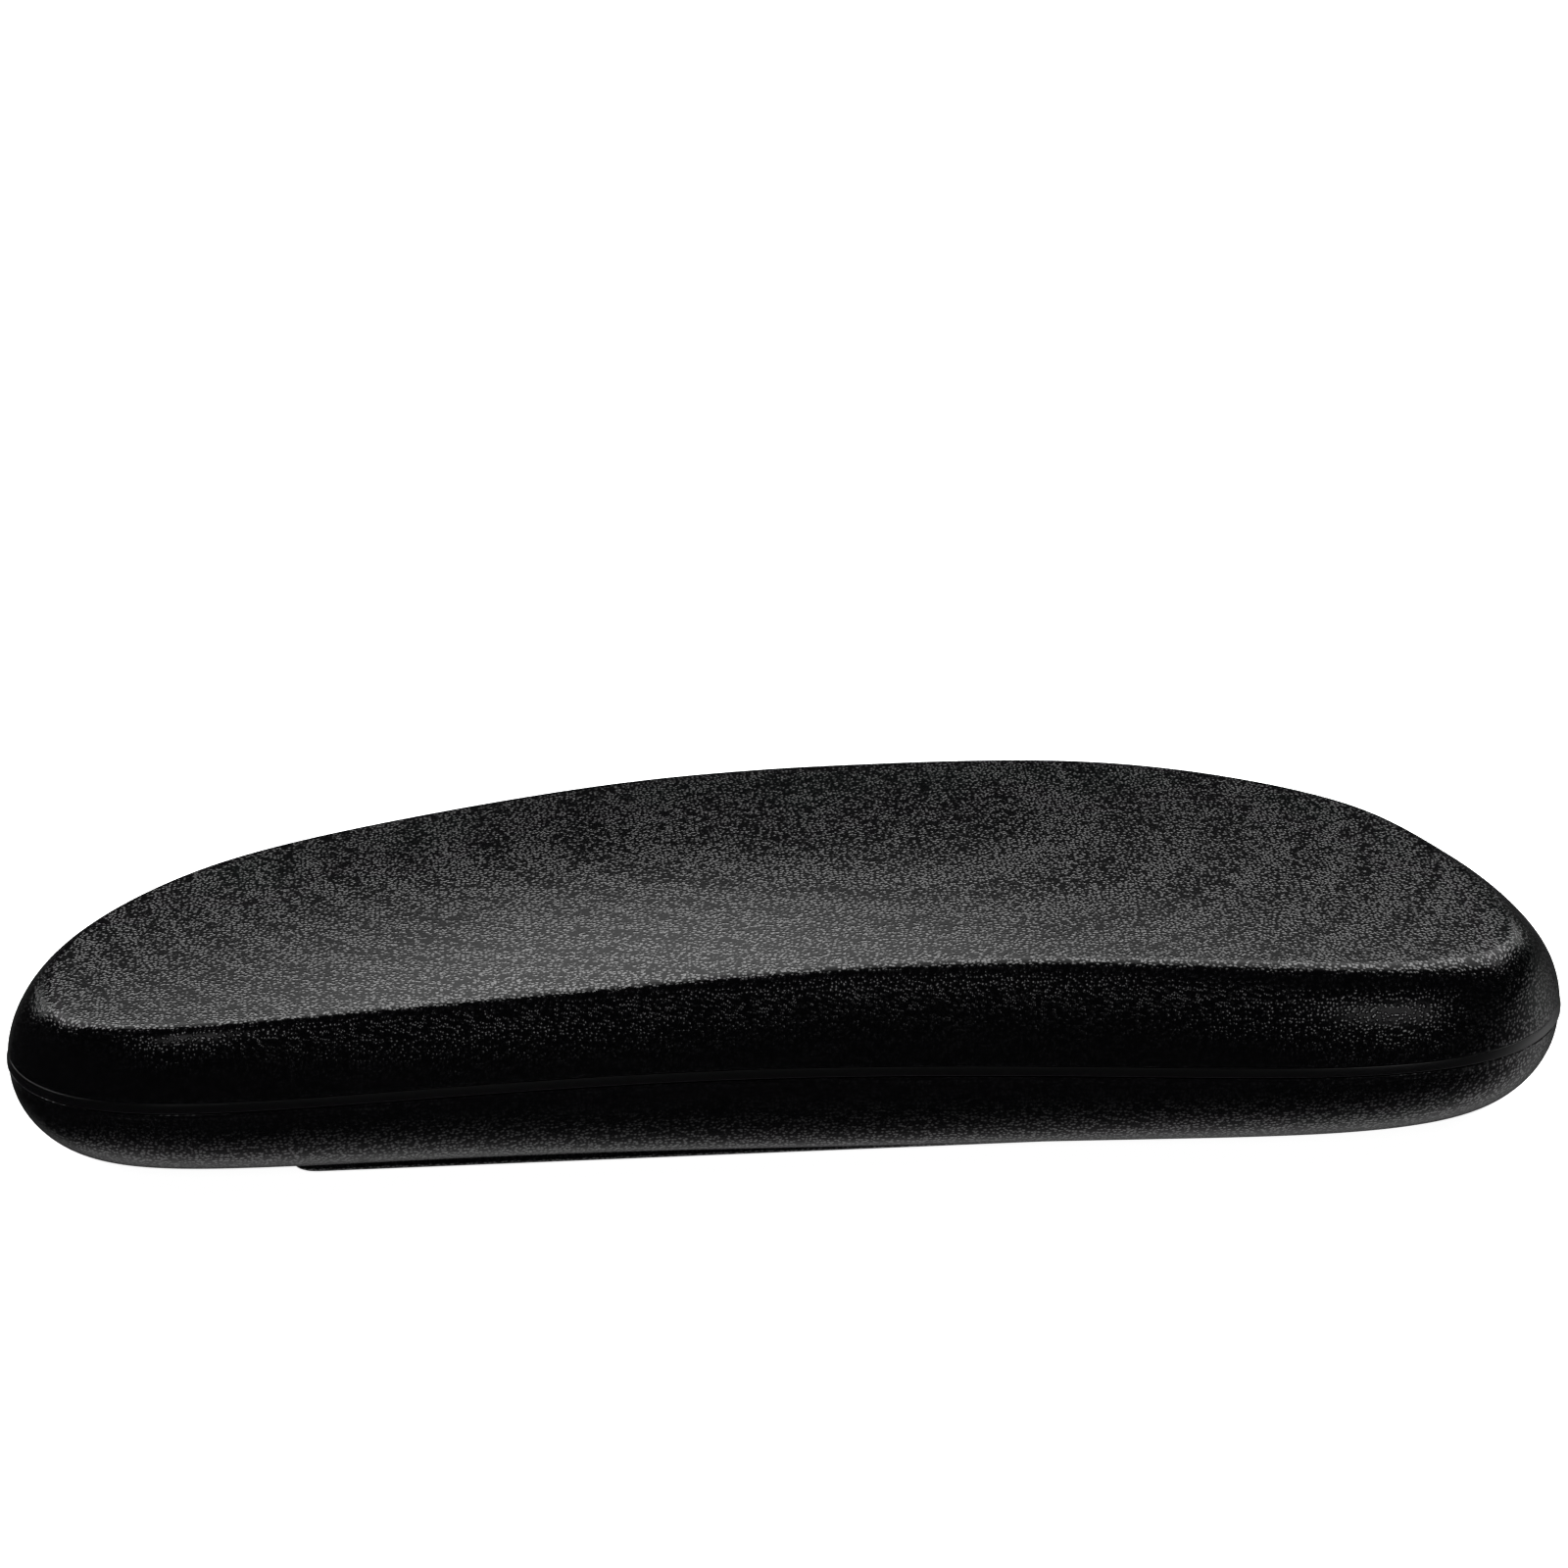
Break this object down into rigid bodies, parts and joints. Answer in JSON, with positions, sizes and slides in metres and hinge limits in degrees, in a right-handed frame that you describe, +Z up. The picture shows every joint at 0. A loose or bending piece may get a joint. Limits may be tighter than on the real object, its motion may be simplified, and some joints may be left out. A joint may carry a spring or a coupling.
{
  "type": "chair armrest pad",
  "caption": "Padded office chair armrest top with a hollowed near side, a bulging far side, a smooth band round its seam and a flat mounting plateau below.",
  "frame": {"origin": "middle of the pad's length and width, on the face that rests on the chair's bracket", "axes": "+X along the arm to the broad end, +Y to the bulging side, +Z up to the arm's rest"},
  "size_m": [0.2654, 0.0988, 0.0384],
  "materials": {
    "grained_skin": "fine pebble grain, satin black",
    "foam": "open-cell moulded foam",
    "tray_plastic": "smooth moulded black",
    "plate_steel": "cold-rolled, lightly oiled",
    "zinc_steel": "bright zinc plated",
    "grained_shell": "fine pebble grain, satin black",
    "black_screw": "black oxide"
  },
  "bodies": {
    "root": {"top_skin": "grained_skin", "foam_core": "foam", "carrier_tray": "tray_plastic", "mount_plate": "plate_steel", "weld_nut_1": "zinc_steel", "weld_nut_2": "zinc_steel", "weld_nut_3": "zinc_steel", "weld_nut_4": "zinc_steel", "plate_screw_1": "zinc_steel", "plate_screw_2": "zinc_steel", "plate_screw_3": "zinc_steel", "plate_screw_4": "zinc_steel", "lower_shell": "grained_shell", "cover_screw_1": "black_screw", "cover_screw_2": "black_screw", "cover_screw_3": "black_screw", "cover_screw_4": "black_screw", "cover_screw_5": "black_screw", "cover_screw_6": "black_screw"}
  },
  "joints": []
}
